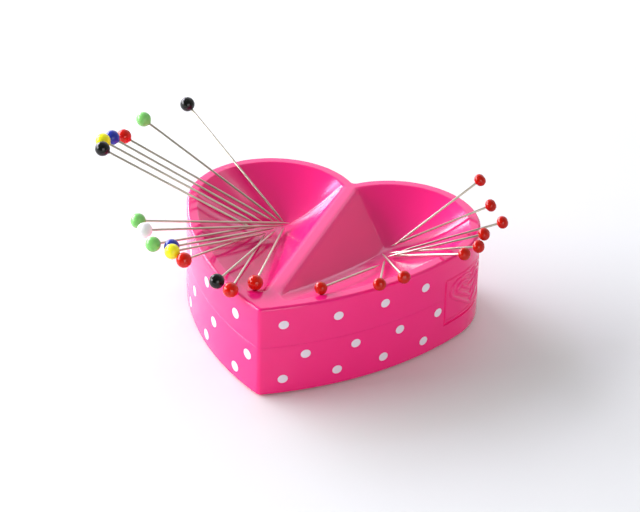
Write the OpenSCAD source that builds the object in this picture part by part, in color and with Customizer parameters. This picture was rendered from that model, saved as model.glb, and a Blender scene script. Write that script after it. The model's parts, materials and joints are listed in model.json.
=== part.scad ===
// Magnetic pin holder in the shape of a heart, with two funnel bowls and 24 pins.
// Millimetres. +Z is up, the heart's point is at -Y and its cleft at +Y.
// The origin is on the ground, under the middle of the heart's length and width.

/* [Heart] */
// Radius of each round lobe
lobe_r = 23.2; // [22:0.1:24]
// Half the distance between the two lobe centres
lobe_x = 16.8; // [16:0.1:17.5]
// How far the lobe centres lie behind the origin
lobe_y = 15.8; // [15:0.1:17]
// Radius of the long side curves
side_r = 91; // [80:1:110]
// Where the two side curves would meet in front of the origin
point_y = 39.3; // [38:0.1:41]
// Radius of the rounded edge at the heart's point
point_r = 1.6; // [1:0.1:2]
// Radius of the small hollow at the cleft
cleft_r = 1.2; // [0.8:0.1:2]

/* [Case] */
// Height of the rim above the ground
case_h = 26; // [25:0.5:30]
// Height of the seam between the two shells
seam_z = 14.4; // [13:0.1:15]
// Wall thickness of both shells
wall = 2; // [1.6:0.1:2.4]
// Width of the rim round the bowls
rim_w = 2.8; // [2.5:0.1:3.5]
// Width of the ridge between the bowls
ridge_w = 4; // [3:0.5:5]
// How far the lower shell's locating lip stands above the seam
lip_h = 2; // [1:0.5:2.5]

/* [Bowls] */
// Sideways place of each bowl's low point
low_x = 15; // [14:0.5:16]
// How far each bowl's low point lies behind the origin
low_y = 16.2; // [15:0.2:18]
// Height of each bowl's low point
low_z = 17; // [16.8:0.1:18]
// Thickness of the bowls' skin
bowl_skin = 1.6; // [1.2:0.1:2]
// Radius of the bowl's corner beside the cleft
corner_back_r = 2; // [1:0.5:3]
// Radius of the bowl's corner near the heart's point
corner_front_r = 2.8; // [2:0.2:4]

/* [Magnets] */
// Diameter of each magnet
magnet_d = 20; // [18:1:20]
// Thickness of each magnet
magnet_h = 5; // [3:0.5:5]

/* [Base] */
// Thickness of the non-slip pad
pad_t = 1.2; // [1:0.1:1.5]
// How far the pad stands below the lower shell
pad_proud = 0.4; // [0.3:0.1:0.6]
// Width of the shell's foot round the pad
pad_edge = 3; // [2.5:0.5:5]
// Thickness of the lower shell's floor
floor_t = 1.6; // [1.4:0.1:2]

/* [Pins] */
// Diameter of the pins' wire
wire_d = 0.6; // [0.5:0.05:0.65]
// Overall length of a long pin
long_pin = 48; // [44:1:50]
// Diameter of a long pin's round head
long_head_d = 4; // [3.5:0.1:4]
// Overall length of a short pin
short_pin = 30; // [28:1:32]
// Diameter of a short pin's flattened head
short_head_d = 3.4; // [3:0.1:3.5]
// Thickness of a short pin's head along the pin
short_head_h = 2.8; // [2.4:0.1:3]

/* [Hidden] */
// Facets of a full circle
$fn = 96;

// Running gaps between pieces that only locate each other
gap = 0.1;
// How far a cutting shape reaches past a face, and how far joined shapes reach into each other
cut = 1;
join = 0.5;
// Thickness of the rim's and the ridge's top
roof_t = 2;
// Thickness of the lower shell's locating lip
lip_t = 1;

// Places of the pieces above the ground
shell_z = pad_proud;
floor_top_z = pad_t + floor_t;
ceiling_z = case_h - roof_t;
bowl_depth = case_h - low_z;
magnet_top_z = low_z - bowl_skin;
magnet_z = magnet_top_z - magnet_h;

// Heart outline: each half is a lobe circle and a long side circle that touch
// at one place and share a tangent there
lobe_c = [lobe_x, lobe_y];
side_c = let (
    lobe_gap = side_r - lobe_r,
    span = norm([lobe_x, lobe_y + point_y]),
    along = (lobe_gap * lobe_gap - side_r * side_r + span * span) / (2 * span),
    across = sqrt(lobe_gap * lobe_gap - along * along),
    toward = [-lobe_x, -point_y - lobe_y] / span
) lobe_c + along * toward + across * [toward.y, -toward.x];
join_angle = angle_of(lobe_c - side_c);
cleft_c = [0, lobe_y + sqrt(pow(lobe_r + cleft_r, 2) - lobe_x * lobe_x)];
// Smallest radius of the point in an outline that is drawn in
point_min_r = 0.5;

// Recessed panel on the right lobe's wall: its two ends as directions from the lobe's centre
panel_depth = 0.4;
panel_z = 6;
panel_h = 13.8;
panel_from = -36;
panel_to = 22;

// Screws through the lower shell into the upper one
SCREW_PLACES = [[0, -26], [-31.2, 14], [31.2, 14]];
screw_head_d = 5.5;
screw_head_h = 2;
screw_seat_z = 3.3;
screw_len = 14;
screw_d = 2.8;
screw_point_len = 2;
screw_point_d = 0.6;
shank_len = screw_len - screw_point_len;
// Cross slot in each screw's head: length, width and depth
CROSS_SLOT = [3.2, 0.8, 1.2];
// Room round the head and the shank in the lower shell, and round and past the screw in its boss
head_room = 0.3;
shank_room = 0.2;
boss_room = 0.05;
bore_past_point = 1.2;
bore_top_z = screw_seat_z + screw_len + bore_past_point;
post_r = 4.2;
post_top_z = 13;
boss_r = 3;

// Ring and ribs that hold each magnet against its bowl, and the tube it stands on
ring_t = 1.8;
ring_z = 10;
ring_top_z = ceiling_z - 1;
rib_t = 1.6;
magnet_post_r = 7;
magnet_post_t = 1.5;

// Bowl surface: the rim's outline shrinks towards the low point while it sinks
BOWL_RINGS = [0.06, 0.25, 0.45, 0.65, 0.85, 1];
bowl_flat = BOWL_RINGS[0];
// Share of the bowl's rise that is straight; the rest curves up
bowl_straight = 0.6;
corner_steps = 6;
lobe_steps = 40;
side_steps = 20;
bowl_corner_steps = 4;
bowl_lobe_steps = 22;
bowl_side_steps = 8;

// Pins
long_pins = 15;
pin_count = 24;
point_len = 3;
point_end_r = 0.03;
// Share of a head's depth that lies past the end of the wire
head_past_wire = 0.3;
// Each pin: colour of its head, which way it points in degrees from +X, its lift above
// level in degrees, and where its point lies
PINS = [
    ["black", 149.5, 23, [-15, 18.5, 17.8]],
    ["green", 177, 28.5, [-16, 18.5, 17.6]],
    ["red", 186, 25, [-17.5, 17.5, 18]],
    ["blue", 188.5, 26, [-19.5, 14.5, 19]],
    ["yellow", 192, 27, [-21, 12.5, 19.4]],
    ["black", 193, 27, [-19.5, 9, 19.4]],
    ["green", 227.5, 14.5, [-12, 15.5, 19.6]],
    ["white", 235, 15.5, [-13, 14.5, 19.2]],
    ["green", 250, 16.5, [-18, 12.5, 19.2]],
    ["blue", 253, 17.5, [-15.5, 14, 18.2]],
    ["yellow", 257, 19, [-16, 8.5, 19.4]],
    ["red", 265.5, 18.5, [-18.5, 8, 19]],
    ["black", 271, 11.5, [-14.5, 11.5, 19]],
    ["red", 279.5, 11.5, [-16.5, 8.5, 18.8]],
    ["red", 281, 11.5, [-13.5, 15, 18.2]],
    ["red", 38.5, 34.5, [17, 17, 18.2]],
    ["red", 25, 24, [16, 17.5, 17.6]],
    ["red", 13, 23, [20, 13.5, 19]],
    ["red", 0.5, 25.5, [18, 8.5, 19.6]],
    ["red", 347.5, 22, [17.5, 11.5, 19]],
    ["red", 335.5, 24, [17.5, 11, 18.4]],
    ["red", 300, 18, [16, 10, 19.2]],
    ["red", 285.5, 18, [18, 6, 19.8]],
    ["red", 256, 13, [18, 2, 20.6]]
];

// ---------- functions ----------

function angle_of(v) = atan2(v.y, v.x);
function mirrored(p) = [-p.x, p.y];

// Points on an arc, without its first one
function arc_points(centre, r, from, to, steps) =
    [for (i = [1:steps]) let (a = from + (to - from) * i / steps) centre + r * [cos(a), sin(a)]];

// The right half of the heart's outline, from its point round to its cleft
function half_outline(inset) = let (
    side = side_r - inset,
    tip_r = max(point_r - inset, point_min_r),
    tip = [0, side_c.y - sqrt(pow(side - tip_r, 2) - side_c.x * side_c.x)],
    tip_angle = angle_of(tip - side_c),
    cleft_angle = angle_of(cleft_c - lobe_c)
) concat(
    [tip - [0, tip_r]],
    arc_points(tip, tip_r, -90, tip_angle, corner_steps),
    arc_points(side_c, side, tip_angle, join_angle, side_steps),
    arc_points(lobe_c, lobe_r - inset, join_angle, cleft_angle, lobe_steps),
    arc_points(cleft_c, cleft_r + inset, cleft_angle - 180, -90, corner_steps)
);

// The whole outline, drawn in from the edge by inset
function heart_outline(inset) = let (half = half_outline(inset))
    concat(half, [for (i = [len(half) - 2:-1:1]) mirrored(half[i])]);

// The right bowl's outline at the rim, clockwise from beside the cleft
function bowl_outline() = let (
    r = lobe_r - rim_w,
    long_r = side_r - rim_w,
    edge = ridge_w / 2,
    back = [edge + corner_back_r,
            lobe_y + sqrt(pow(r - corner_back_r, 2) - pow(lobe_x - edge - corner_back_r, 2))],
    front = [edge + corner_front_r,
             side_c.y - sqrt(pow(long_r - corner_front_r, 2) - pow(edge + corner_front_r - side_c.x, 2))],
    back_angle = angle_of(back - lobe_c),
    front_angle = angle_of(front - side_c)
) concat(
    arc_points(back, corner_back_r, 180, back_angle, bowl_corner_steps),
    arc_points(lobe_c, r, back_angle, join_angle, bowl_lobe_steps),
    arc_points(side_c, long_r, join_angle, front_angle, bowl_side_steps),
    arc_points(front, corner_front_r, front_angle, -180, bowl_corner_steps)
);

// How deep the bowl is at a fraction of the way from its low point to its rim: flatter at the bottom
function bowl_rise(f) = let (g = max(0, (f - bowl_flat) / (1 - bowl_flat)))
    bowl_depth * g * (bowl_straight + (1 - bowl_straight) * g);

function pin_node(i, piece) = str("pin_", i < 10 ? "0" : "", i, "_", piece);
function pin_length(i) = i <= long_pins ? long_pin : short_pin;
function head_depth(i) = i <= long_pins ? long_head_d : short_head_h;
function wire_end(i) = pin_length(i) - head_depth(i) * head_past_wire;

// ---------- shared shapes ----------

// A layer of the whole heart between two heights, drawn in from the edge by inset
module heart_layer(inset, from, to)
    translate([0, 0, from]) linear_extrude(to - from) polygon(heart_outline(inset));

module in_both_bowls() {
    children();
    mirror([1, 0, 0]) children();
}

// The space above one bowl's surface, up past the rim; lowered, it is the skin's underside
module bowl_space(lowered = 0) {
    outline = bowl_outline();
    count = len(outline);
    rings = len(BOWL_RINGS) + 1;
    low = [low_x, low_y];
    points = concat(
        [for (f = BOWL_RINGS, p = outline) let (q = low + (p - low) * f)
            [q.x, q.y, low_z + bowl_rise(f) - lowered]],
        [for (p = outline) [p.x, p.y, case_h + cut]]
    );
    sides = [for (k = [0:rings - 2], i = [0:count - 1]) let (j = (i + 1) % count)
        each [[k * count + i, k * count + j, (k + 1) * count + j],
              [k * count + i, (k + 1) * count + j, (k + 1) * count + i]]];
    floor_face = [for (i = [count - 1:-1:0]) i];
    top_face = [for (i = [0:count - 1]) (rings - 1) * count + i];
    polyhedron(points, concat(sides, [floor_face, top_face]), convexity = 4);
}

// The shallow panel, cut from the wall between two heights
module panel_cut() {
    reach = 2 * lobe_r;
    difference() {
        translate([lobe_c.x, lobe_c.y, panel_z]) linear_extrude(panel_h) polygon([
            [0, 0],
            reach * [cos(panel_from), sin(panel_from)],
            reach * [cos(panel_to), sin(panel_to)]
        ]);
        heart_layer(panel_depth, panel_z - cut, panel_z + panel_h + cut);
    }
}

module at_screws() {
    for (p = SCREW_PLACES) translate(p) children();
}

// ---------- case ----------

module upper_shell() color("#f0308c") difference() {
    union() {
        difference() {
            heart_layer(0, seam_z, case_h);
            difference() {
                heart_layer(wall, seam_z - cut, ceiling_z);
                in_both_bowls() bowl_space(bowl_skin);
            }
        }
        in_both_bowls() translate([low_x, low_y]) magnet_ring();
        at_screws() translate([0, 0, post_top_z])
            cylinder(h = ceiling_z + join - post_top_z, r = boss_r);
    }
    in_both_bowls() bowl_space();
    panel_cut();
    at_screws() translate([0, 0, post_top_z - cut])
        cylinder(h = bore_top_z + cut - post_top_z, r = screw_d / 2 + boss_room);
}

// Ring round a magnet, and the crossed ribs that it rests against
module magnet_ring() {
    inner = magnet_d / 2 + gap;
    translate([0, 0, ring_z]) difference() {
        cylinder(h = ring_top_z - ring_z, r = inner + ring_t);
        translate([0, 0, -cut]) cylinder(h = ring_top_z - ring_z + 2 * cut, r = inner);
    }
    for (turn = [0, 90]) rotate(turn)
        translate([-inner - ring_t / 2, -rib_t / 2, magnet_top_z])
            cube([2 * inner + ring_t, rib_t, ring_top_z - magnet_top_z]);
}

module lower_shell() color("#f0308c") difference() {
    union() {
        difference() {
            heart_layer(0, shell_z, seam_z);
            heart_layer(wall, floor_top_z, seam_z + cut);
        }
        difference() {
            union() {
                heart_layer(wall - join, seam_z - lip_h, seam_z);
                heart_layer(wall + gap, seam_z - join, seam_z + lip_h);
            }
            heart_layer(wall + gap + lip_t, seam_z - lip_h - cut, seam_z + lip_h + cut);
        }
        in_both_bowls() translate([low_x, low_y, floor_top_z - join]) difference() {
            cylinder(h = magnet_z - floor_top_z + join - gap, r = magnet_post_r);
            cylinder(h = magnet_z, r = magnet_post_r - magnet_post_t);
        }
        at_screws() translate([0, 0, floor_top_z - join])
            cylinder(h = post_top_z - floor_top_z + join, r = post_r);
    }
    heart_layer(pad_edge, shell_z - cut, pad_t);
    panel_cut();
    at_screws() {
        cylinder(h = screw_seat_z, r = screw_head_d / 2 + head_room);
        cylinder(h = post_top_z + cut, r = screw_d / 2 + shank_room);
    }
}

module magnet() {
    translate([low_x, low_y, magnet_z]) cylinder(h = magnet_h, d = magnet_d);
}

module magnet_left() color("#3c3c40") mirror([1, 0, 0]) magnet();

module magnet_right() color("#3c3c40") magnet();

module case_screws() color("silver")
    at_screws() translate([0, 0, screw_seat_z - screw_head_h]) case_screw();

module case_screw() difference() {
    union() {
        cylinder(h = screw_head_h, d = screw_head_d);
        cylinder(h = screw_head_h + shank_len, d = screw_d);
        translate([0, 0, screw_head_h + shank_len])
            cylinder(h = screw_point_len, d1 = screw_d, d2 = screw_point_d);
    }
    for (turn = [0, 90]) rotate(turn) translate([-CROSS_SLOT.x / 2, -CROSS_SLOT.y / 2, -cut])
        cube([CROSS_SLOT.x, CROSS_SLOT.y, CROSS_SLOT.z + cut]);
}

module non_slip_pad() color("#303034") heart_layer(pad_edge + gap, 0, pad_t);

// ---------- pins ----------

// Puts +Z along a pin, from its point to its head
module on_pin(i) {
    pin = PINS[i - 1];
    translate(pin[3]) rotate([0, 90 - pin[2], pin[1]]) children();
}

module pin_shaft(i) color("silver") on_pin(i) rotate_extrude($fn = 24) polygon([
    [0, 0],
    [point_end_r, 0],
    [wire_d / 2, point_len],
    [wire_d / 2, wire_end(i)],
    [0, wire_end(i)]
]);

// The bead is fused round the end of the wire
module pin_head(i) color(PINS[i - 1][0]) on_pin(i) translate([0, 0, pin_length(i) - head_depth(i) / 2]) {
    if (i <= long_pins) sphere(d = long_head_d, $fn = 48);
    else flat_bead();
}

// A round bead, flattened along the pin
module flat_bead() rotate_extrude($fn = 48) {
    flat_r = (short_head_d - short_head_h) / 2;
    translate([0, -short_head_h / 2]) square([flat_r, short_head_h]);
    intersection() {
        translate([flat_r, 0]) circle(d = short_head_h, $fn = 48);
        translate([0, -short_head_h]) square([short_head_d, 2 * short_head_h]);
    }
}

// ---------- nodes ----------

upper_shell();
lower_shell();
magnet_left();
magnet_right();
case_screws();
non_slip_pad();
for (i = [1:pin_count]) {
    pin_shaft(i);
    pin_head(i);
}
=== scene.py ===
"""Heart-shaped magnetic pin holder with two bowls and 24 loose pins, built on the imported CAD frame.

Lengths in the shape code are millimetres, in the CAD frame: +Z up, the heart's point at -Y.
"""

import json
import math

import bmesh
import bpy
from mathutils import Matrix, Vector
from mathutils.geometry import tessellate_polygon

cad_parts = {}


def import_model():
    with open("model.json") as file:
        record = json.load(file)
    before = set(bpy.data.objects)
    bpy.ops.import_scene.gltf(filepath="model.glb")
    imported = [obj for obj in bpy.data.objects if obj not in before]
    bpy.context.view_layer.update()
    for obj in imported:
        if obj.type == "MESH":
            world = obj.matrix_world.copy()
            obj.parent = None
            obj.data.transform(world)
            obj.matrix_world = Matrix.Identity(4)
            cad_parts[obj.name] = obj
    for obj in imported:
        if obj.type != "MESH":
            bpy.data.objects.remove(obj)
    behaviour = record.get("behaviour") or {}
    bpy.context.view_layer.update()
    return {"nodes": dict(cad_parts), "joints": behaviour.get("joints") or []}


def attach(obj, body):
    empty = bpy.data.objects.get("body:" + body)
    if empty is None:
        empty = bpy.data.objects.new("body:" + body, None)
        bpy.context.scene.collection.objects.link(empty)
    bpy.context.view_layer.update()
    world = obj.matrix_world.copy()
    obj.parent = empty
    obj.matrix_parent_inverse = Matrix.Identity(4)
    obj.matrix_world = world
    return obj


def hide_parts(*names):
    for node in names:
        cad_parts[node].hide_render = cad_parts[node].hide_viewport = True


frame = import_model()

MM = 0.001
UP = Vector((0, 0, 1))

# Heart outline, as in the CAD source
LOBE_R = 23.2
LOBE_C = (16.8, 15.8)
SIDE_R = 91
POINT_Y = 39.3
POINT_R = 1.6
POINT_MIN_R = 0.5
CLEFT_R = 1.2

# Steps along each half of the outline; the side with the panel has finer ones beside and on it
TIP_STEPS = 6
SIDE_STEPS = 44
LOBE_STEPS = 52
SIDE_STEPS_TO_PANEL = 38
LOBE_STEPS_PAST_PANEL = 40

# Case heights and walls
CASE_H = 26
SEAM_Z = 14.4
SHELL_Z = 0.4
WALL = 2
RIM_W = 2.8
RIDGE_EDGE = 2
EDGE_R = 0.8
FOOT_R = 0.5
SEAM_CHAMFER = 0.06
LIP_GAP = 0.1
LIP_T = 1
LIP_H = 2
PAD_EDGE = 3
PAD_T = 1.2
PAD_SOFT_R = 0.25
PAD_SOFT_MID = 0.08
PAD_BEVEL = 0.1
FLOOR_TOP_Z = 2.8
CEILING_Z = 24
FLAT_RING = 0.2
WALL_RING_GAP = 0.4
LOW_RING_Z = 3
HIGH_RING_Z = 23

# Bowls
LOW = (15, 16.2)
LOW_Z = 17
BOWL_DEPTH = CASE_H - LOW_Z
BOWL_FLAT = 0.06
BOWL_STRAIGHT = 0.6
BOWL_SKIN = 1.6
BOWL_RINGS = 26
BOWL_UNDER_RINGS = 8
BOWL_TOP_RING = 0.95
BOWL_EDGE_STEPS = 6
CORNER_BACK_R = 2
CORNER_FRONT_R = 2.8
BOWL_EDGE_R = 0.9
RIDGE_EXTRA_R = 2
RIDGE_STEPS = 24

# Recessed panel: its ends as directions from the right lobe's centre
PANEL_FROM = -36
PANEL_TO = 22
PANEL_Z = 6
PANEL_TOP = 19.8
PANEL_DEPTH = 0.4
PANEL_EDGE = 0.12
PANEL_STEP = 0.2
PANEL_ROWS_UPPER = 24
PANEL_ROWS_LOWER = 40

# Plain sign in the panel: a frame line and nested hearts
FRAME_LINE_IN = 0.9
SIGN_SIZE = 9.6
SIGN_STRETCH = 1.6
SIGN_DROP = 5.2
SIGN_LINES_IN = (0.3, 1.9, 3.5)
SIGN_HALF_W = 0.5
SIGN_BEVEL = 0.22
SIGN_RAISE = 0.9

# Inside parts
SCREW_PLACES = ((0, -26), (-31.2, 14), (31.2, 14))
SCREW_SEAT_Z = 3.3
POST_TOP_Z = 13
POST_R = 4.2
POST_BORE_R = 1.6
POCKET_R = 3.05
BOSS_R = 3
BOSS_BORE_R = 1.45
BOSS_BORE_Z = 19.5
BOSS_BORE_TIP = 0.6
BOSS_INTO_ROOF = 1
MAGNET_TOP_Z = LOW_Z - BOWL_SKIN
RING_Z = 10
RING_R = 10.1
RING_T = 1.8
RIB_T = 1.6
TUBE_R = 7
TUBE_T = 1.5
TUBE_TOP_Z = 10.3

# Pins
LONG_PINS = 15
PIN_COUNT = 24
WIRE_R = 0.3
LONG_PIN = 48
LONG_HEAD = 4
SHORT_PIN = 30
SHORT_HEAD_D = 3.4
SHORT_HEAD_H = 2.8
HEAD_PAST_WIRE = 0.3
BORE_GAP = 0.01
COLLAR_H = 0.12
COLLAR_EDGE = 0.03
COLLAR_OUT = 0.1
BEAD_STEPS = 24
POINT_PROFILE = ((0, 0), (0.03, 0.02), (0.07, 0.4), (0.13, 1), (0.2, 1.8), (0.26, 2.5), (WIRE_R, 3.3))
WIRE_BEVEL_R = 0.05
WIRE_BEVEL_H = 0.1
PIN_COLOURS = (
    "black", "green", "red", "blue", "yellow", "black", "green", "white", "green", "blue",
    "yellow", "red", "black", "red", "red",
)


# ---------- outline ----------


def direction(a):
    """Angle in degrees of a flat vector."""
    return math.degrees(math.atan2(a[1], a[0]))


def on_circle(centre, radius, angle):
    a = math.radians(angle)
    return (centre[0] + radius * math.cos(a), centre[1] + radius * math.sin(a))


def minus(a, b):
    return (a[0] - b[0], a[1] - b[1])


def spaced(start, end, steps):
    """Values after start, up to and with end, in equal steps."""
    return [start + (end - start) * i / steps for i in range(1, steps + 1)]


def find_side_centre():
    """The side circle touches the lobe circle from outside and passes through the heart's point."""
    gap = SIDE_R - LOBE_R
    span = math.hypot(LOBE_C[0], LOBE_C[1] + POINT_Y)
    along = (gap * gap - SIDE_R * SIDE_R + span * span) / (2 * span)
    across = math.sqrt(gap * gap - along * along)
    to_x = -LOBE_C[0] / span
    to_y = (-POINT_Y - LOBE_C[1]) / span
    return (LOBE_C[0] + along * to_x + across * to_y, LOBE_C[1] + along * to_y - across * to_x)


SIDE_C = find_side_centre()
JOIN = direction(minus(LOBE_C, SIDE_C))
CLEFT_C = (0, LOBE_C[1] + math.sqrt((LOBE_R + CLEFT_R) ** 2 - LOBE_C[0] ** 2))
CLEFT_TURN = direction(minus(CLEFT_C, LOBE_C))


def panel_start_angle():
    """Where the panel's first end meets the side curve, as an angle about the side circle's centre."""
    ray = on_circle((0, 0), 1, PANEL_FROM)
    off = minus(LOBE_C, SIDE_C)
    half_b = off[0] * ray[0] + off[1] * ray[1]
    reach = -half_b + math.sqrt(half_b**2 - off[0] ** 2 - off[1] ** 2 + SIDE_R**2)
    return direction((off[0] + reach * ray[0], off[1] + reach * ray[1]))


PANEL_SIDE = panel_start_angle()
EDGE_SIDE = math.degrees(PANEL_EDGE / SIDE_R)
EDGE_LOBE = math.degrees(PANEL_EDGE / LOBE_R)


def tip_angle_at(inset):
    """Centre and radius of an inset outline's tip, and its direction from the side circle's centre."""
    radius = max(POINT_R - inset, POINT_MIN_R)
    y = SIDE_C[1] - math.sqrt((SIDE_R - inset - radius) ** 2 - SIDE_C[0] ** 2)
    return (0, y), radius, direction(minus((0, y), SIDE_C))


TIP_TURN = tip_angle_at(0)[2]


def side_fractions(fine):
    """How far along the side curve each point lies; close together where the panel is."""
    if not fine:
        return spaced(0, 1, SIDE_STEPS)
    span = JOIN - TIP_TURN
    start = (PANEL_SIDE - TIP_TURN) / span
    edge = start + EDGE_SIDE / span
    steps = round(math.radians(JOIN - PANEL_SIDE) * SIDE_R / PANEL_STEP)
    return spaced(0, start, SIDE_STEPS_TO_PANEL) + [edge] + spaced(edge, 1, steps)


def lobe_angles(fine):
    """Angles of the points round a lobe; close together where the panel is."""
    if not fine:
        return spaced(JOIN, CLEFT_TURN, LOBE_STEPS)
    steps = round(math.radians(PANEL_TO - JOIN) * LOBE_R / PANEL_STEP)
    past = spaced(PANEL_TO, CLEFT_TURN, LOBE_STEPS_PAST_PANEL)
    return spaced(JOIN, PANEL_TO - EDGE_LOBE, steps) + [PANEL_TO] + past


SIDES = {True: side_fractions(True), False: side_fractions(False)}
LOBES = {True: lobe_angles(True), False: lobe_angles(False)}


def half_outline(inset, fine):
    """The right half of the heart, from its point to its cleft."""
    tip, tip_r, turn = tip_angle_at(inset)
    points = [(0, tip[1] - tip_r)]
    points += [on_circle(tip, tip_r, a) for a in spaced(-90, turn, TIP_STEPS)]
    points += [on_circle(SIDE_C, SIDE_R - inset, turn + (JOIN - turn) * f) for f in SIDES[fine]]
    points += [on_circle(LOBE_C, LOBE_R - inset, a) for a in LOBES[fine]]
    cleft = spaced(CLEFT_TURN - 180, -90, TIP_STEPS)
    return points + [on_circle(CLEFT_C, CLEFT_R + inset, a) for a in cleft]


def heart_outline(inset):
    """The whole heart, anticlockwise from its point."""
    right = half_outline(inset, True)
    left = half_outline(inset, False)
    return right + [(-x, y) for x, y in left[-2:0:-1]]


def outline_lengths():
    """How far along the outline each of its points lies."""
    points = heart_outline(0)
    total = [0]
    for a, b in zip(points, points[1:]):
        total.append(total[-1] + math.dist(a, b))
    return points, total


OUTLINE, LENGTHS = outline_lengths()
PANEL_FIRST = 1 + TIP_STEPS + SIDE_STEPS_TO_PANEL
PANEL_LAST = TIP_STEPS + len(SIDES[True]) + len(LOBES[True]) - LOBE_STEPS_PAST_PANEL
PANEL_HALF = (LENGTHS[PANEL_LAST] - LENGTHS[PANEL_FIRST]) / 2
PANEL_MID = (PANEL_Z + PANEL_TOP) / 2


def outline_place(length):
    """A place on the outline and its outward normal.

    It is found by its distance from the heart's point, which is negative on the left.
    """
    span = abs(length)
    low = 0
    while LENGTHS[low + 1] < span:
        low += 1
    a = OUTLINE[low]
    b = OUTLINE[low + 1]
    f = (span - LENGTHS[low]) / (LENGTHS[low + 1] - LENGTHS[low])
    place = (a[0] + (b[0] - a[0]) * f, a[1] + (b[1] - a[1]) * f)
    if place[1] < CLEFT_C[1] and span < LENGTHS[1 + TIP_STEPS]:
        centre = tip_angle_at(0)[0]
    elif span < LENGTHS[TIP_STEPS + len(SIDES[True])]:
        centre = SIDE_C
    else:
        centre = LOBE_C
    away = minus(place, centre)
    size = math.hypot(*away)
    side = 1 if length >= 0 else -1
    return (side * place[0], place[1]), (side * away[0] / size, away[1] / size)


# ---------- mesh helpers ----------


class Maker:
    """Collects points in millimetres, and the faces between rings of them."""

    def __init__(self):
        self.points = []
        self.faces = []

    def ring(self, flat, z):
        """Adds a ring of points at one height, or one height for each point."""
        heights = z if isinstance(z, list) else [z] * len(flat)
        first = len(self.points)
        self.points += [(p[0], p[1], h) for p, h in zip(flat, heights)]
        return list(range(first, len(self.points)))

    def add(self, points):
        first = len(self.points)
        self.points += [tuple(p) for p in points]
        return list(range(first, len(self.points)))

    def bridge(self, a, b):
        for i in range(len(a)):
            j = (i + 1) % len(a)
            self.faces.append((a[i], a[j], b[j], b[i]))

    def stack(self, rings):
        for a, b in zip(rings, rings[1:]):
            self.bridge(a, b)

    def cap(self, *rings):
        """Fills the flat area inside the first ring, apart from the holes that the others bound."""
        loops = [[Vector(self.points[i]) for i in ring] for ring in rings]
        numbers = [i for ring in rings for i in ring]
        self.faces += [tuple(numbers[k] for k in corner) for corner in tessellate_polygon(loops)]

    def fan(self, ring, point):
        centre = self.add([point])[0]
        for i in range(len(ring)):
            self.faces.append((ring[i], ring[(i + 1) % len(ring)], centre))

    def lathe(self, profile, segments=32, centre=(0, 0)):
        """Turns a profile of (radius, height) about a vertical line; a radius of 0 closes it."""
        before = None
        for radius, z in profile:
            if radius == 0:
                now = self.add([(centre[0], centre[1], z)])
            else:
                turn = [on_circle(centre, radius, 360 * k / segments) for k in range(segments)]
                now = self.ring(turn, z)
            if before and len(now) == 1:
                self.faces += [(before[k], before[(k + 1) % segments], now[0]) for k in range(segments)]
            elif before and len(before) == 1:
                self.faces += [(now[k], now[(k + 1) % segments], before[0]) for k in range(segments)]
            elif before:
                self.bridge(before, now)
            before = now

    def build(self, name, body, look, replaces=(), place=None, crease=32):
        """Makes the piece, puts it in place, and hands it to its CAD body."""
        mesh = bpy.data.meshes.new(name)
        mesh.from_pydata([[c * MM for c in p] for p in self.points], [], self.faces)
        bm = bmesh.new()
        bm.from_mesh(mesh)
        bmesh.ops.recalc_face_normals(bm, faces=bm.faces)
        bm.to_mesh(mesh)
        bm.free()
        mesh.shade_smooth()
        mesh.set_sharp_from_angle(angle=math.radians(crease))
        mesh.materials.append(look)
        piece = bpy.data.objects.new(name, mesh)
        bpy.context.scene.collection.objects.link(piece)
        if place is not None:
            piece.matrix_world = place
        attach(piece, body)
        if replaces:
            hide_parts(*replaces)
        return piece


def quarter(steps):
    """Angles from 0 to a right angle, both ends included."""
    return [math.pi / 2 * i / steps for i in range(steps + 1)]


# ---------- materials ----------


def surface(name, colour, tint, roughness, scale, bump, stretch=(1, 1, 1), **sockets):
    """A procedural finish: two close colours mottled together, with uneven gloss and a fine grain.

    Scale is how fine the grain is; the gloss and the mottle vary over wider patches.
    """
    gloss_scale = 0.35 * scale
    mottle_scale = 0.08 * scale
    look = bpy.data.materials.new(name)
    look.use_nodes = True
    nodes = look.node_tree.nodes
    link = look.node_tree.links.new
    shader = nodes["Principled BSDF"]
    place = nodes.new("ShaderNodeTexCoord")
    mapping = nodes.new("ShaderNodeMapping")
    mapping.inputs["Scale"].default_value = stretch
    link(place.outputs["Object"], mapping.inputs["Vector"])

    def noise(size, detail):
        made = nodes.new("ShaderNodeTexNoise")
        made.inputs["Scale"].default_value = size
        made.inputs["Detail"].default_value = detail
        link(mapping.outputs["Vector"], made.inputs["Vector"])
        return made.outputs["Fac"]

    mottle = nodes.new("ShaderNodeMix")
    mottle.data_type = "RGBA"
    mottle.inputs["A"].default_value = (*colour, 1)
    mottle.inputs["B"].default_value = (*tint, 1)
    link(noise(mottle_scale, 2), mottle.inputs["Factor"])
    link(mottle.outputs["Result"], shader.inputs["Base Color"])
    gloss = nodes.new("ShaderNodeMapRange")
    gloss.inputs["From Min"].default_value = 0.3
    gloss.inputs["From Max"].default_value = 0.7
    gloss.inputs["To Min"].default_value = roughness[0]
    gloss.inputs["To Max"].default_value = roughness[1]
    link(noise(gloss_scale, 3), gloss.inputs["Value"])
    link(gloss.outputs["Result"], shader.inputs["Roughness"])
    grain = nodes.new("ShaderNodeBump")
    grain.inputs["Strength"].default_value = bump
    grain.inputs["Distance"].default_value = 0.1 * MM
    link(noise(scale, 2), grain.inputs["Height"])
    link(grain.outputs["Normal"], shader.inputs["Normal"])
    for socket, value in sockets.items():
        shader.inputs[socket.replace("_", " ")].default_value = value
    return look


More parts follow.
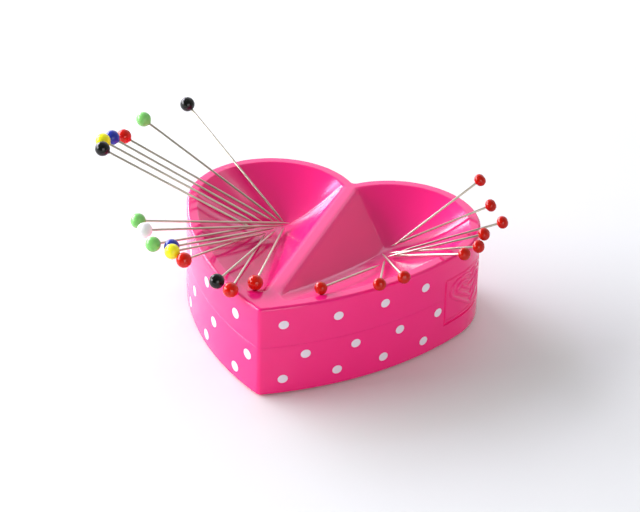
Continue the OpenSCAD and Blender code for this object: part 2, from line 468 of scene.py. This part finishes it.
PINK = surface(
    "pink_plastic", (0.95, 0.012, 0.215), (0.94, 0.011, 0.205), (0.11, 0.17), 1500, 0.011,
    Subsurface_Weight=0.1, Subsurface_Radius=(0.003, 0.001, 0.0015), Subsurface_Scale=1.0,
)
WHITE_PRINT = surface("white_print", (0.82, 0.74, 0.82), (0.78, 0.70, 0.78), (0.35, 0.5), 3000, 0.08)
RUBBER = surface("grey_rubber", (0.035, 0.035, 0.038), (0.05, 0.05, 0.052), (0.7, 0.9), 2500, 0.5)
FERRITE = surface("ferrite", (0.045, 0.045, 0.05), (0.075, 0.072, 0.07), (0.55, 0.8), 1800, 0.4)
SCREW_STEEL = surface(
    "zinc_steel", (0.62, 0.63, 0.64), (0.52, 0.53, 0.56), (0.25, 0.42), 2500, 0.15, Metallic=1.0
)
WIRE_STEEL = surface(
    "drawn_steel", (0.66, 0.62, 0.51), (0.46, 0.43, 0.34), (0.3, 0.42), 4000, 0.2, (1, 1, 0.04),
    Metallic=1.0,
)

BEAD_COLOURS = {
    "black": ((0.004, 0.005, 0.004), (0.008, 0.009, 0.008)),
    "green": ((0.20, 0.60, 0.14), (0.25, 0.66, 0.18)),
    "red": ((0.72, 0.014, 0.004), (0.60, 0.008, 0.003)),
    "blue": ((0.02, 0.03, 0.34), (0.025, 0.045, 0.40)),
    "yellow": ((0.97, 0.93, 0.03), (0.95, 0.89, 0.02)),
    "white": ((0.97, 0.96, 0.95), (0.95, 0.93, 0.93)),
}
BEADS = {
    name: surface(
        "glass_" + name, *colours, (0.05, 0.11), 900, 0.03, Specular_IOR_Level=0.35,
        Subsurface_Weight=0.4, Subsurface_Radius=(0.001, 0.001, 0.001), Subsurface_Scale=1.0,
    )
    for name, colours in BEAD_COLOURS.items()
}
ORANGE_RED = surface(
    "orange_red_head", (0.36, 0.004, 0.002), (0.72, 0.014, 0.003), (0.06, 0.2), 6000, 0.1,
    Specular_IOR_Level=0.3,
)


# ---------- case ----------


def panel_mark(across, up):
    """How far the plain sign in the panel is raised: 1 on a line, 0 between the lines.

    Both distances are from the panel's middle. The hearts are offsets of one heart of unit size: a square
    corner at its point, and a round lobe centred a quarter across and three quarters up.
    """
    side = (PANEL_HALF - abs(across), PANEL_TOP - PANEL_MID - abs(up))
    frame_line = abs(min(side) - FRAME_LINE_IN)
    x = abs(across) / SIGN_SIZE / SIGN_STRETCH
    y = (up + SIGN_DROP) / SIGN_SIZE
    if x + y > 1:
        away = math.hypot(x - 0.25, y - 0.75) - math.sqrt(2) / 4
    else:
        half = 0.5 * max(x + y, 0)
        away = min(math.hypot(x, y - 1), math.hypot(x - half, y - half))
        away = math.copysign(away, x - y)
    nearest = min(abs(away * SIGN_SIZE + line) for line in SIGN_LINES_IN)
    return min(max((SIGN_HALF_W - min(nearest, frame_line)) / SIGN_BEVEL, 0), 1)


def panel_ring(inset, z):
    """An outline of the wall, sunk where the panel is."""
    flat = heart_outline(inset)
    if not PANEL_Z < z < PANEL_TOP:
        return flat
    middle = LENGTHS[PANEL_FIRST] + PANEL_HALF
    for i in range(PANEL_FIRST, PANEL_LAST):
        sunk = PANEL_DEPTH * (1 - SIGN_RAISE * panel_mark(LENGTHS[i] - middle, z - PANEL_MID))
        place, normal = outline_place(LENGTHS[i])
        away = inset + sunk
        flat[i] = (place[0] - normal[0] * away, place[1] - normal[1] * away)
    return flat


def wall_rings(maker, levels):
    return [maker.ring(panel_ring(inset, z), z) for inset, z in levels]


def bowl_outline():
    """The right bowl's outline at the rim, with the outward normal at each point."""
    radius = LOBE_R - RIM_W
    long_r = SIDE_R - RIM_W
    back_x = RIDGE_EDGE + CORNER_BACK_R
    back_y = LOBE_C[1] + math.sqrt((radius - CORNER_BACK_R) ** 2 - (LOBE_C[0] - back_x) ** 2)
    front_x = RIDGE_EDGE + CORNER_FRONT_R
    front_y = SIDE_C[1] - math.sqrt((long_r - CORNER_FRONT_R) ** 2 - (front_x - SIDE_C[0]) ** 2)
    back = (back_x, back_y)
    front = (front_x, front_y)
    back_turn = direction(minus(back, LOBE_C))
    front_turn = direction(minus(front, SIDE_C))
    runs = (
        (back, CORNER_BACK_R, 180, back_turn, 12),
        (LOBE_C, radius, back_turn, JOIN, 72),
        (SIDE_C, long_r, JOIN, front_turn, 36),
        (front, CORNER_FRONT_R, front_turn, -180, 14),
    )
    points = []
    normals = []
    for centre, r, start, end, steps in runs:
        for a in spaced(start, end, steps):
            points.append(on_circle(centre, r, a))
            normals.append(on_circle((0, 0), 1, a))
    last = points[-1]
    first = on_circle(back, CORNER_BACK_R, 180)
    for f in spaced(0, 1, RIDGE_STEPS):
        points.append((last[0], last[1] + (first[1] - last[1]) * f))
        normals.append((-1, 0))
    return points, normals


BOWL, BOWL_NORMALS = bowl_outline()
BOWL_CURVED = 1 - BOWL_STRAIGHT
BOWL_SLOPE = BOWL_DEPTH * (1 + BOWL_CURVED) / (1 - BOWL_FLAT)


def bowl_rise(f):
    """Height above the low point, at a fraction of the way out to the rim: part straight, part curved."""
    g = max(0, (f - BOWL_FLAT) / (1 - BOWL_FLAT))
    return BOWL_DEPTH * g * (BOWL_STRAIGHT + BOWL_CURVED * g)


def bowl_height(x, y):
    """Height of the right bowl's surface above a place inside its outline."""
    away = minus((x, y), LOW)
    for a, b in zip(BOWL, BOWL[1:] + BOWL[:1]):
        p = minus(a, LOW)
        q = minus(b, LOW)
        cross = p[0] * q[1] - p[1] * q[0]
        first = (away[0] * q[1] - away[1] * q[0]) / cross
        second = (p[0] * away[1] - p[1] * away[0]) / cross
        if first >= 0 and second >= 0:
            return LOW_Z + bowl_rise(first + second)
    return CASE_H


def at_side(points, side):
    return [(side * p[0], p[1]) for p in points]


def bowl_top(maker, side):
    """The bowl's rounded edge and surface; gives back a ring on the flat rim just outside the edge."""
    edge = [[] for _ in range(BOWL_EDGE_STEPS + 2)]
    heights = [[] for _ in range(BOWL_EDGE_STEPS + 2)]
    for p, n in zip(BOWL, BOWL_NORMALS):
        reach = (p[0] - LOW[0]) * n[0] + (p[1] - LOW[1]) * n[1]
        slope = math.atan(BOWL_SLOPE / reach)
        edge_r = BOWL_EDGE_R + RIDGE_EXTRA_R * max(0, -n[0]) ** 3
        run = edge_r * math.tan(slope / 2)
        for k in range(BOWL_EDGE_STEPS + 2):
            turn = slope * max(k - 1, 0) / BOWL_EDGE_STEPS
            out = run + (FLAT_RING if k == 0 else 0) - edge_r * math.sin(turn)
            edge[k].append((p[0] + n[0] * out, p[1] + n[1] * out))
            heights[k].append(CASE_H - edge_r * (1 - math.cos(turn)))
    rings = [maker.ring(at_side(flat, side), z) for flat, z in zip(edge, heights)]
    for f in spaced(BOWL_TOP_RING, BOWL_FLAT, BOWL_RINGS):
        flat = [(LOW[0] + (p[0] - LOW[0]) * f, LOW[1] + (p[1] - LOW[1]) * f) for p in BOWL]
        rings.append(maker.ring(at_side(flat, side), LOW_Z + bowl_rise(f)))
    maker.stack(rings)
    maker.fan(rings[-1], (side * LOW[0], LOW[1], LOW_Z))
    return rings[0]


def bowl_underside(maker, side):
    """The skin's lower face; gives back the ring where it meets the ceiling."""
    rise = BOWL_DEPTH - (CASE_H - CEILING_Z - BOWL_SKIN)
    root = math.sqrt(BOWL_STRAIGHT**2 + 4 * BOWL_CURVED * rise / BOWL_DEPTH)
    g = (root - BOWL_STRAIGHT) / (2 * BOWL_CURVED)
    start = BOWL_FLAT + g * (1 - BOWL_FLAT)
    rings = []
    for f in [start] + spaced(start, BOWL_FLAT, BOWL_UNDER_RINGS):
        flat = [(LOW[0] + (p[0] - LOW[0]) * f, LOW[1] + (p[1] - LOW[1]) * f) for p in BOWL]
        rings.append(maker.ring(at_side(flat, side), LOW_Z + bowl_rise(f) - BOWL_SKIN))
    maker.stack(rings)
    maker.fan(rings[-1], (side * LOW[0], LOW[1], LOW_Z - BOWL_SKIN))
    return rings[0]


def follow_skin(maker, profile_low, flat_rings, side):
    """A closed tube (two rings) or bar (one ring) from a height up into the middle of the bowl's skin."""
    top = [[bowl_height(*p) - BOWL_SKIN / 2 for p in flat] for flat in flat_rings]
    lower = [maker.ring(at_side(flat, side), profile_low) for flat in flat_rings]
    upper = [maker.ring(at_side(flat, side), z) for flat, z in zip(flat_rings, top)]
    maker.bridge(lower[0], upper[0])
    if len(flat_rings) == 1:
        last = len(lower[0]) - 1
        for ring in (lower[0], upper[0]):
            for i in range(last // 2):
                maker.faces.append((ring[i], ring[i + 1], ring[last - i - 1], ring[last - i]))
        return
    maker.bridge(lower[1], upper[1])
    maker.bridge(lower[0], lower[1])
    maker.bridge(upper[0], upper[1])


def circle_points(centre, radius, segments=48):
    return [on_circle(centre, radius, 360 * k / segments) for k in range(segments)]


def bar_points(centre, length, thickness, steps, turned):
    """Points round a long thin bar."""
    half = thickness / 2
    along = [length * (i / steps - 0.5) for i in range(steps + 1)]
    flat = [(a, -half) for a in along] + [(a, half) for a in reversed(along)]
    if turned:
        flat = [(-b, a) for a, b in flat]
    return [(centre[0] + a, centre[1] + b) for a, b in flat]


def upper_case():
    maker = Maker()
    rows = spaced(SEAM_Z + SEAM_CHAMFER, PANEL_TOP - PANEL_EDGE, PANEL_ROWS_UPPER)
    levels = [(WALL, SEAM_Z), (SEAM_CHAMFER, SEAM_Z), (0, SEAM_Z + SEAM_CHAMFER)]
    levels += [(0, z) for z in rows]
    levels += [(0, PANEL_TOP), (0, PANEL_TOP + WALL_RING_GAP), (0, HIGH_RING_Z)]
    levels += [(0, CASE_H - EDGE_R - WALL_RING_GAP)]
    levels += [
        (EDGE_R * (1 - math.cos(a)), CASE_H - EDGE_R * (1 - math.sin(a))) for a in quarter(7)
    ]
    levels += [(EDGE_R + FLAT_RING, CASE_H)]
    wall = wall_rings(maker, levels)
    maker.stack(wall)
    maker.cap(wall[-1], bowl_top(maker, 1), bowl_top(maker, -1))
    ceiling = maker.ring(heart_outline(WALL), CEILING_Z)
    maker.bridge(wall[0], ceiling)
    maker.cap(ceiling, bowl_underside(maker, 1), bowl_underside(maker, -1))
    for side in (1, -1):
        circles = [circle_points(LOW, RING_R + RING_T), circle_points(LOW, RING_R)]
        follow_skin(maker, RING_Z, circles, side)
        for turned in (False, True):
            rib = bar_points(LOW, 2 * RING_R + RING_T, RIB_T, 12, turned)
            follow_skin(maker, MAGNET_TOP_Z, [rib], side)
    return maker.build("upper_case", "holder", PINK, ["upper_shell"])


def screw_bosses():
    """Hollow bosses under the rim that the screws bite into."""
    maker = Maker()
    for x, y in SCREW_PLACES:
        side = -1 if x < 0 else 1
        centre = (abs(x), y)
        outer = circle_points(centre, BOSS_R, 32)
        inner = circle_points(centre, BOSS_BORE_R, 32)
        if x == 0:
            top_z = CEILING_Z + BOSS_INTO_ROOF
            tops = [top_z] * len(outer)
        else:
            top_z = bowl_height(*centre) - BOWL_SKIN / 2
            tops = [bowl_height(*p) - BOWL_SKIN / 2 for p in outer]
        low = maker.ring(at_side(outer, side), POST_TOP_Z)
        high = maker.ring(at_side(outer, side), tops)
        bore = [maker.ring(at_side(inner, side), z) for z in (POST_TOP_Z, BOSS_BORE_Z)]
        maker.bridge(low, high)
        maker.fan(high, (x, y, top_z))
        maker.bridge(low, bore[0])
        maker.bridge(bore[0], bore[1])
        maker.fan(bore[1], (x, y, BOSS_BORE_Z + BOSS_BORE_TIP))
    return maker.build("screw_bosses", "holder", PINK)


def lower_case():
    maker = Maker()
    rows = spaced(PANEL_Z + PANEL_EDGE, SEAM_Z - SEAM_CHAMFER, PANEL_ROWS_LOWER)
    levels = [(PAD_EDGE, PAD_T), (PAD_EDGE, SHELL_Z + PAD_BEVEL), (PAD_EDGE - PAD_BEVEL, SHELL_Z)]
    levels += [(FOOT_R + FLAT_RING, SHELL_Z)]
    levels += [
        (FOOT_R * (1 - math.sin(a)), SHELL_Z + FOOT_R * (1 - math.cos(a))) for a in quarter(5)
    ]
    levels += [(0, LOW_RING_Z), (0, PANEL_Z - WALL_RING_GAP), (0, PANEL_Z), (0, PANEL_Z + PANEL_EDGE)]
    levels += [(0, z) for z in rows]
    levels += [(SEAM_CHAMFER, SEAM_Z), (WALL + LIP_GAP, SEAM_Z)]
    wall = wall_rings(maker, levels)
    lip_in = WALL + LIP_GAP + LIP_T
    inner = ((WALL + LIP_GAP, SEAM_Z + LIP_H), (lip_in, SEAM_Z + LIP_H), (lip_in, SEAM_Z - LIP_H))
    inner += ((WALL, SEAM_Z - LIP_H), (WALL, FLOOR_TOP_Z))
    wall += [maker.ring(heart_outline(inset), z) for inset, z in inner]
    maker.stack(wall)
    under = []
    over = []
    for place in SCREW_PLACES:
        profile = (
            (POCKET_R, PAD_T), (POCKET_R, SCREW_SEAT_Z), (POST_BORE_R, SCREW_SEAT_Z),
            (POST_BORE_R, POST_TOP_Z), (POST_R, POST_TOP_Z), (POST_R, FLOOR_TOP_Z),
        )
        rings = [maker.ring(circle_points(place, r), z) for r, z in profile]
        maker.stack(rings)
        under.append(rings[0])
        over.append(rings[-1])
    for side in (1, -1):
        centre = (side * LOW[0], LOW[1])
        profile = (
            (TUBE_R, FLOOR_TOP_Z), (TUBE_R, TUBE_TOP_Z), (TUBE_R - TUBE_T, TUBE_TOP_Z),
            (TUBE_R - TUBE_T, FLOOR_TOP_Z),
        )
        rings = [maker.ring(circle_points(centre, r), z) for r, z in profile]
        maker.stack(rings)
        maker.cap(rings[-1])
        over.append(rings[0])
    maker.cap(wall[0], *under)
    maker.cap(wall[-1], *over)
    return maker.build("lower_case", "holder", PINK, ["lower_shell"])


def rubber_foot():
    """The non-slip pad, with softened edges."""
    maker = Maker()
    edge = PAD_EDGE + LIP_GAP
    levels = (
        (edge + PAD_SOFT_R, 0), (edge + PAD_SOFT_MID, PAD_SOFT_MID), (edge, PAD_SOFT_R),
        (edge, PAD_T - PAD_BEVEL), (edge + PAD_BEVEL, PAD_T),
    )
    rings = [maker.ring(heart_outline(inset), z) for inset, z in levels]
    maker.stack(rings)
    maker.cap(rings[0])
    maker.cap(rings[-1])
    return maker.build("rubber_foot", "holder", RUBBER, ["non_slip_pad"])


DOT_T = 0.03
DOT_BEVEL = 0.95
DOT_SEGMENTS = 28


def evenly(start, pitch, count):
    return [start + pitch * i for i in range(count)]


# Printed dots, by their distance along the outline from the heart's point. Columns of two dots take turns
# with single dots. Near the point they are placed one by one; further round, and past the panel on the
# right, they carry on evenly. Each side: its sign, a dot's half width and half height, the columns of two
# and their heights, and the single dots and their height.
DOT_SIDES = (
    (
        1, (1.35, 1.2),
        [6.3, 21.1, 34.8, 48.1] + evenly(88.5, 16, 2), (20.8, 4.7),
        [12.3, 26.3, 39.8, 53.1] + evenly(96.5, 16, 2), 11.3,
    ),
    (
        -1, (1.6, 1.4),
        [10.4, 27.6] + evenly(44.5, 17, 5), (19.7, 3.8),
        [4.7, 22.5, 38.8] + evenly(55.7, 17, 4), 10.5,
    ),
)


def dot(maker, length, z, half):
    """A thin printed oval that follows the wall."""
    rings = []
    for part, out in ((1, -DOT_T), (1, DOT_T / 2), (DOT_BEVEL, DOT_T), (0.5, DOT_T)):
        ring = []
        for k in range(DOT_SEGMENTS):
            a, b = on_circle((0, 0), part, 360 * k / DOT_SEGMENTS)
            place, normal = outline_place(length + a * half[0])
            ring.append((place[0] + normal[0] * out, place[1] + normal[1] * out, z + b * half[1]))
        rings.append(maker.add(ring))
    maker.stack(rings)
    place, normal = outline_place(length)
    for ring, out in ((rings[0], -DOT_T), (rings[-1], DOT_T)):
        maker.fan(ring, (place[0] + normal[0] * out, place[1] + normal[1] * out, z))


def printed_dots():
    maker = Maker()
    for side, half, pairs, pair_heights, singles, single_z in DOT_SIDES:
        for length in pairs:
            for z in pair_heights:
                dot(maker, side * length, z, half)
        for length in singles:
            dot(maker, side * length, single_z, half)
    return maker.build("printed_dots", "holder", WHITE_PRINT)


# ---------- pins ----------


def pin_place(number, wire_length):
    """A matrix that puts +Z along a pin, with the origin at its point, from its CAD shaft and its joint."""
    name = f"pin_{number:02d}"
    joint = next(j for j in frame["joints"] if j["child"] == name)
    along = Vector(joint["axis"]).normalized()
    corners = [v.co for v in frame["nodes"][name + "_shaft"].data.vertices]
    far = max(c.dot(along) for c in corners)
    slack = 0.01 * MM
    end = [c for c in corners if c.dot(along) > far - slack]
    middle = sum(end, Vector()) / len(end)
    start = middle - along * wire_length * MM
    turn = along.to_track_quat("Z", "Y").to_matrix().to_4x4()
    return Matrix.Translation(start) @ turn


def bead_profile(start, middle, half, flat_r, round_r):
    """A glass bead on the wire: its bore, a thin collar where the wire goes in, and its round body."""
    collar = middle - half - COLLAR_H
    profile = [(0, start), (WIRE_R + BORE_GAP, start), (WIRE_R + BORE_GAP, collar)]
    profile += [(WIRE_R + COLLAR_OUT, collar + COLLAR_EDGE), (WIRE_R + 1.4 * COLLAR_OUT, middle - half)]
    first = 3 if flat_r == 0 else 2
    for k in range(first, BEAD_STEPS):
        a = math.pi * (k / BEAD_STEPS - 0.5)
        profile.append((flat_r + round_r * math.cos(a), middle + half * math.sin(a)))
    if flat_r:
        profile.append((flat_r, middle + half))
    return profile + [(0, middle + half)]


def pin(number):
    """A straight wire, ground to a point, and the bead on its end."""
    is_long = number <= LONG_PINS
    length = LONG_PIN if is_long else SHORT_PIN
    depth = LONG_HEAD if is_long else SHORT_HEAD_H
    wire_end = length - depth * HEAD_PAST_WIRE
    place = pin_place(number, wire_end)
    name = f"pin_{number:02d}"
    wire = Maker()
    profile = [*POINT_PROFILE, (WIRE_R, wire_end - WIRE_BEVEL_H)]
    profile += [(WIRE_R - WIRE_BEVEL_R, wire_end), (0, wire_end)]
    wire.lathe(profile, 20)
    wire.build(name + "_wire", name, WIRE_STEEL, [name + "_shaft"], place, 40)
    bead = Maker()
    start = wire_end + BORE_GAP
    middle = length - depth / 2
    if is_long:
        colour = PIN_COLOURS[number - 1]
        profile = bead_profile(start, middle, LONG_HEAD / 2, 0, LONG_HEAD / 2)
        look = BEADS[colour]
    else:
        flat = (SHORT_HEAD_D - SHORT_HEAD_H) / 2
        profile = bead_profile(start, middle, SHORT_HEAD_H / 2, flat, SHORT_HEAD_H / 2)
        look = ORANGE_RED
    bead.lathe(profile, 36)
    bead.build(name + "_bead", name, look, [name + "_head"], place, 50)


upper_case()
screw_bosses()
lower_case()
rubber_foot()
printed_dots()
for number in range(1, PIN_COUNT + 1):
    pin(number)

for node, look in (("magnet_left", FERRITE), ("magnet_right", FERRITE), ("case_screws", SCREW_STEEL)):
    piece = frame["nodes"][node]
    piece.data.materials.clear()
    piece.data.materials.append(look)


# ---------- floor, light and camera ----------

WHITE_CARD = surface("white_card", (0.88, 0.905, 0.885), (0.86, 0.885, 0.87), (0.7, 0.85), 300, 0.05)
AIM = (0, 0, 0.02)


def floor():
    """A plain square sheet under the holder."""
    maker = Maker()
    half = 2500
    count = 24
    grid = [2 * half * i / count - half for i in range(count + 1)]
    maker.add([(x, y, 0) for y in grid for x in grid])
    row = count + 1
    for i in range(count):
        for j in range(count):
            a = i * row + j
            maker.faces.append((a, a + 1, a + row + 1, a + row))
    mesh = bpy.data.meshes.new("floor")
    mesh.from_pydata([[c * MM for c in p] for p in maker.points], [], maker.faces)
    mesh.materials.append(WHITE_CARD)
    plane = bpy.data.objects.new("floor", mesh)
    bpy.context.scene.collection.objects.link(plane)


def area_light(name, place, size, watts, colour):
    """A rectangular lamp that faces the holder; places and sizes are in metres."""
    lamp = bpy.data.lights.new(name, "AREA")
    lamp.shape = "RECTANGLE"
    lamp.size, lamp.size_y = size
    lamp.energy = watts
    lamp.color = colour
    light = bpy.data.objects.new(name, lamp)
    light.location = place
    light.rotation_mode = "QUATERNION"
    light.rotation_quaternion = (Vector(place) - Vector(AIM)).to_track_quat("Z", "Y")
    bpy.context.scene.collection.objects.link(light)


def world():
    """Even, soft light that is brighter towards the back and darker overhead and in front."""
    sky = bpy.data.worlds.new("studio")
    sky.use_nodes = True
    nodes = sky.node_tree.nodes
    link = sky.node_tree.links.new
    back = nodes["Background"]
    back.inputs["Color"].default_value = (0.97, 1, 0.98, 1)
    place = nodes.new("ShaderNodeTexCoord")
    toward = nodes.new("ShaderNodeVectorMath")
    toward.operation = "DOT_PRODUCT"
    toward.inputs[1].default_value = (0, 0.9, -0.3)
    link(place.outputs["Generated"], toward.inputs[0])
    strength = nodes.new("ShaderNodeMapRange")
    strength.inputs["From Min"].default_value = -1
    strength.inputs["To Min"].default_value = 0.03
    strength.inputs["To Max"].default_value = 0.82
    link(toward.outputs["Value"], strength.inputs["Value"])
    link(strength.outputs["Result"], back.inputs["Strength"])
    bpy.context.scene.world = sky


def camera():
    """Looks down at the heart's point from the right, with a long lens."""
    azimuth = math.radians(19.1)
    elevation = math.radians(30.25)
    roll = math.radians(1.55)
    distance = 0.8454
    target = Vector((-9.6, 33.85, 0)) * MM
    back = Vector((
        math.sin(azimuth) * math.cos(elevation),
        -math.cos(azimuth) * math.cos(elevation),
        math.sin(elevation),
    ))
    right = (-back).cross(UP).normalized()
    above = right.cross(-back)
    turned_right = right * math.cos(roll) + above * math.sin(roll)
    turned_above = above * math.cos(roll) - right * math.sin(roll)
    turn = Matrix((turned_right, turned_above, back)).transposed()
    data = bpy.data.cameras.new("camera")
    data.sensor_width = 36
    data.lens = 172.65
    data.clip_start = 0.05
    data.clip_end = 20
    eye = bpy.data.objects.new("camera", data)
    eye.matrix_world = Matrix.Translation(target + back * distance) @ turn.to_4x4()
    bpy.context.scene.collection.objects.link(eye)
    bpy.context.scene.camera = eye


floor()
world()
area_light("window", (-1.15, 0.08, 0.42), (2, 0.6), 40, (0.95, 0.93, 1))
area_light("high_window_left", (-1, 0.33, 0.84), (0.18, 0.16), 1.3, (0.76, 0.62, 1))
area_light("high_window_back", (-1, 0.58, 0.68), (0.24, 0.16), 1.2, (0.76, 0.62, 1))
area_light("softbox", (0.27, 0.6, 0.88), (0.2, 0.16), 0.2, (0.98, 0.98, 1))
area_light("backdrop", (-0.45, 1.25, 0.75), (1.5, 0.7), 3.8, (0.85, 0.82, 1))
area_light("fill", (0.7, -0.95, 0.4), (0.8, 0.7), 5.8, (1, 0.97, 0.98))
camera()
bpy.context.scene.view_settings.view_transform = "Standard"
